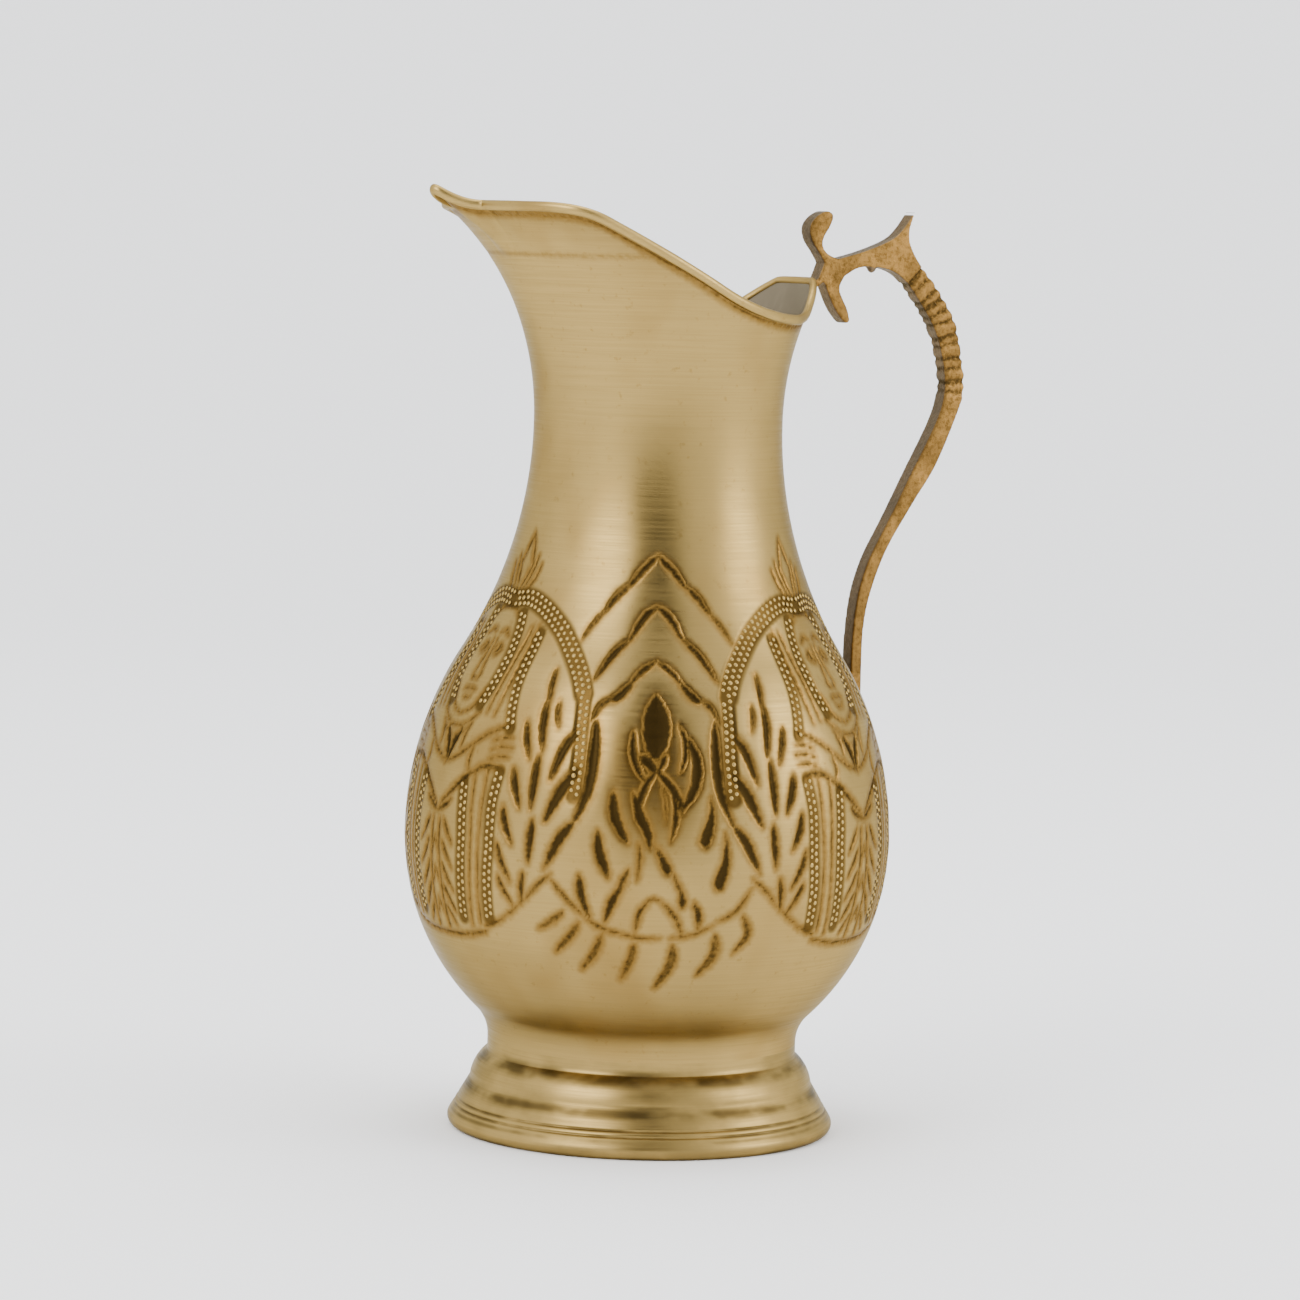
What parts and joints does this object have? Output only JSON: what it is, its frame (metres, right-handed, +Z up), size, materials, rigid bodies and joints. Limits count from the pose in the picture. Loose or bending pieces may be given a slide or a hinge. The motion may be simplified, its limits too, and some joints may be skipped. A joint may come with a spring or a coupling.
{
  "type": "water jug",
  "caption": "Pear-shaped brass water jug with a side-cut trumpet mouth, pouring beak, spun foot and a flat cast handle, chased all over with relief.",
  "frame": {"origin": "centre of the circle the foot stands on, on the axis of the body", "axes": "+Z up along the axis of the body, +X towards the handle, the beak on -X"},
  "size_m": [0.1799, 0.1412, 0.2725],
  "materials": {
    "body_brass": "satin, brushed round, with dark patina in the chasing",
    "wire_brass": "satin, worn bright",
    "foot_brass": "satin, brushed round, blotched patina",
    "handle_brass": "cast, satin, browner, with dark patina in the grooves",
    "spelter": "dull brazing metal"
  },
  "bodies": {
    "root": {"lower_bowl": "body_brass", "upper_bowl": "body_brass", "neck_funnel": "body_brass", "rim_wire": "wire_brass", "foot_ring": "foot_brass", "foot_edge_wire": "wire_brass", "handle": "handle_brass", "belly_braze": "spelter", "neck_braze": "spelter", "foot_braze": "spelter", "handle_lower_solder": "spelter", "handle_upper_solder": "spelter"}
  },
  "joints": []
}
